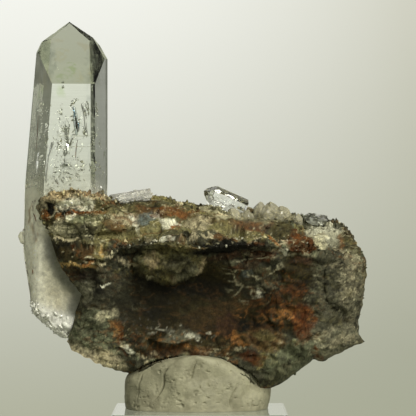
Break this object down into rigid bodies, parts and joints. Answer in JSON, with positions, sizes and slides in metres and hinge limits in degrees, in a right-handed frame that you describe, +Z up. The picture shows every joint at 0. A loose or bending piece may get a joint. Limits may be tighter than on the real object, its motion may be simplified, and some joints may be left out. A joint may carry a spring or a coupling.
{
  "type": "enhydro quartz crystal specimen",
  "caption": "Tall clear terminated quartz crystal growing from a long rough rock with smaller crystals, standing in a putty lump on a clear block",
  "frame": {"origin": "centre of the clear block's underside, on the surface that it stands on", "axes": "+Z up, +X to the right along the rock with the tall crystal at -X, +Y to the back, so the pictured side faces -Y"},
  "size_m": [0.0874, 0.046, 0.1092],
  "materials": {
    "clear_quartz": "clear quartz, polished natural faces, hazy towards the foot",
    "matrix_stone": "rough broken rock, olive grey to rust brown, with glints of quartz",
    "small_crystal": "clear quartz, natural faces",
    "milky_quartz": "slightly milky quartz, natural faces",
    "grey_quartz": "grey smoky quartz, natural faces",
    "mineral_putty": "dull pale putty with finger creases and small pits",
    "clear_acrylic": "polished clear acrylic"
  },
  "bodies": {
    "root": {"quartz_crystal": "clear_quartz", "matrix_rock": "matrix_stone", "tilted_point": "small_crystal", "lying_point": "milky_quartz", "end_point": "grey_quartz", "crest_cluster": "milky_quartz", "putty_mount": "mineral_putty", "clear_base": "clear_acrylic"}
  },
  "joints": []
}
